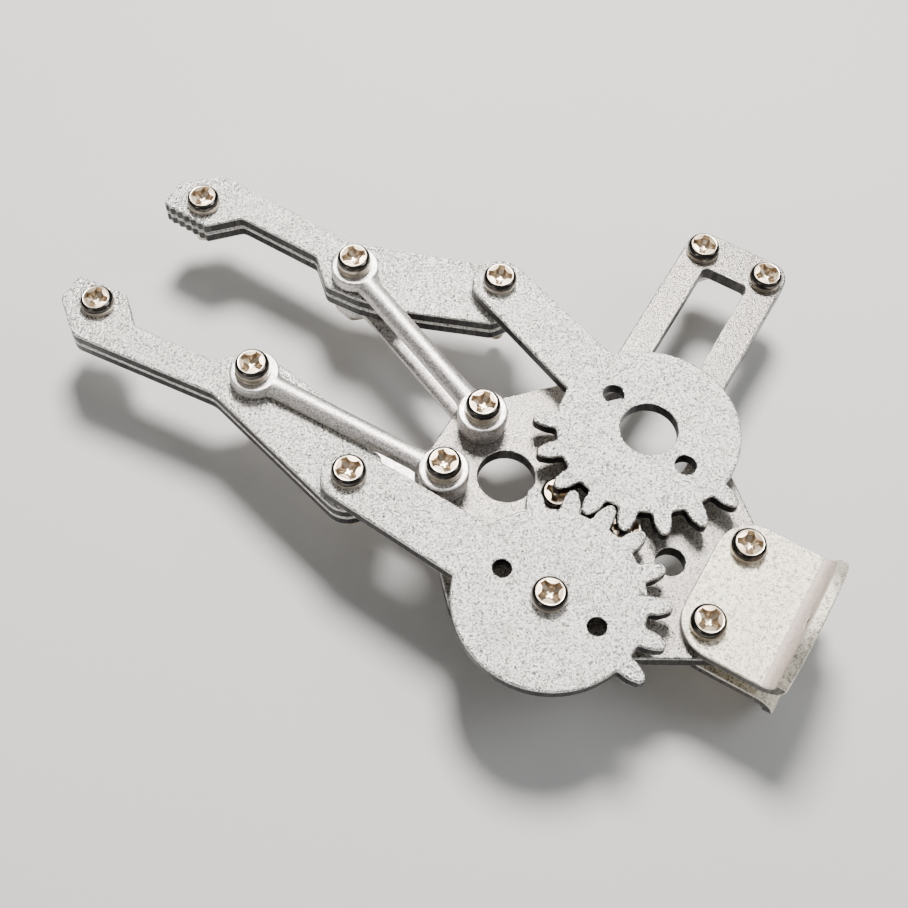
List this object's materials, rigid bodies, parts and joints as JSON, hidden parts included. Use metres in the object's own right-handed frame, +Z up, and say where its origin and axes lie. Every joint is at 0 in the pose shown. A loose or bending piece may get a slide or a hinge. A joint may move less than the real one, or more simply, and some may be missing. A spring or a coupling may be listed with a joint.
{
  "type": "servo gripper claw",
  "caption": "Metal parallel-finger gripper claw for a desktop robot arm: meshed gear arms and link bars on a flat base plate with a servo wing and two wrist flanges.",
  "frame": {"origin": "on the outer face of the upper wrist flange, on the claw's centre line, 3.3 mm above the middle of the flange's screw hole", "axes": "+X from the wrist towards the finger tips, +Z up out of the base plate's gear side, the drive gear and servo wing at -Y"},
  "size_m": [0.1155, 0.08, 0.0218],
  "materials": {
    "base_casting": "bead-blasted, matt grainy silver",
    "arm_casting": "bead-blasted, matt grainy silver with darker edges",
    "bracket_sheet": "bent sheet, satin with a faint warm tone",
    "nickel_fastener": "polished nickel plate"
  },
  "bodies": {
    "base": {"base_plate": "base_casting", "wrist_bracket_upper": "bracket_sheet", "wrist_bracket_lower": "bracket_sheet", "bracket_drive_screw": "nickel_fastener", "bracket_drive_nut": "nickel_fastener", "bracket_idler_screw": "nickel_fastener", "bracket_idler_nut": "nickel_fastener", "servo_near_rear_screw": "nickel_fastener", "servo_near_rear_nut": "nickel_fastener", "servo_near_front_screw": "nickel_fastener", "servo_near_front_nut": "nickel_fastener", "servo_far_rear_screw": "nickel_fastener", "servo_far_rear_nut": "nickel_fastener", "servo_far_front_screw": "nickel_fastener", "servo_far_front_nut": "nickel_fastener", "idler_axle_screw": "nickel_fastener", "idler_axle_nut": "nickel_fastener", "idler_spacer": "arm_casting", "drive_inner_pivot_screw": "nickel_fastener", "drive_inner_pivot_nut": "nickel_fastener", "drive_inner_washer": "nickel_fastener", "drive_standoff": "arm_casting", "idler_inner_pivot_screw": "nickel_fastener", "idler_inner_pivot_nut": "nickel_fastener", "idler_inner_washer": "nickel_fastener", "idler_standoff": "arm_casting"},
    "drive_arm": {"drive_gear": "arm_casting", "drive_rear_pivot_screw": "nickel_fastener", "drive_rear_pivot_nut": "nickel_fastener"},
    "drive_finger": {"drive_finger_upper": "arm_casting", "drive_finger_lower": "arm_casting", "drive_tip_screw": "nickel_fastener", "drive_tip_nut": "nickel_fastener", "drive_middle_pivot_screw": "nickel_fastener", "drive_middle_pivot_nut": "nickel_fastener", "drive_middle_washer": "nickel_fastener"},
    "drive_links": {"drive_link_upper": "arm_casting", "drive_link_lower": "arm_casting"},
    "idler_arm": {"idler_gear": "arm_casting", "idler_rear_pivot_screw": "nickel_fastener", "idler_rear_pivot_nut": "nickel_fastener"},
    "idler_finger": {"idler_finger_upper": "arm_casting", "idler_finger_lower": "arm_casting", "idler_tip_screw": "nickel_fastener", "idler_tip_nut": "nickel_fastener", "idler_middle_pivot_screw": "nickel_fastener", "idler_middle_pivot_nut": "nickel_fastener", "idler_middle_washer": "nickel_fastener"},
    "idler_links": {"idler_link_upper": "arm_casting", "idler_link_lower": "arm_casting"}
  },
  "joints": [
    {"name": "drive_gear_turn", "type": "hinge", "parent": "base", "child": "drive_arm", "pos_m": [0.0317, -0.0145, -0.007], "axis": [0, 0, 1], "range_deg": [-42, 0.5]},
    {"name": "idler_gear_turn", "type": "hinge", "parent": "base", "child": "idler_arm", "pos_m": [0.0317, 0.0145, -0.007], "axis": [0, 0, 1], "range_deg": [-0.5, 42]},
    {"name": "drive_finger_swing", "type": "hinge", "parent": "drive_arm", "child": "drive_finger", "pos_m": [0.06137, -0.02536, -0.007], "axis": [0, 0, 1], "range_deg": [-0.6, 45.8]},
    {"name": "idler_finger_swing", "type": "hinge", "parent": "idler_arm", "child": "idler_finger", "pos_m": [0.06324, 0.01263, -0.007], "axis": [0, 0, 1], "range_deg": [-48.5, 0.7]},
    {"name": "drive_links_swing", "type": "hinge", "parent": "base", "child": "drive_links", "pos_m": [0.0528, -0.0053, -0.007], "axis": [0, 0, 1], "range_deg": [-42.4, 0.6]},
    {"name": "idler_links_swing", "type": "hinge", "parent": "base", "child": "idler_links", "pos_m": [0.0528, 0.0053, -0.007], "axis": [0, 0, 1], "range_deg": [-0.6, 40]}
  ],
  "couplings": [
    {"joint": "idler_gear_turn", "follows": "drive_gear_turn", "ratio": -1},
    {"joint": "drive_finger_swing", "follows": "drive_gear_turn", "ratio": -1.084},
    {"joint": "idler_finger_swing", "follows": "drive_gear_turn", "ratio": 1.15},
    {"joint": "drive_links_swing", "follows": "drive_gear_turn", "ratio": 1.004},
    {"joint": "idler_links_swing", "follows": "drive_gear_turn", "ratio": -0.947}
  ]
}
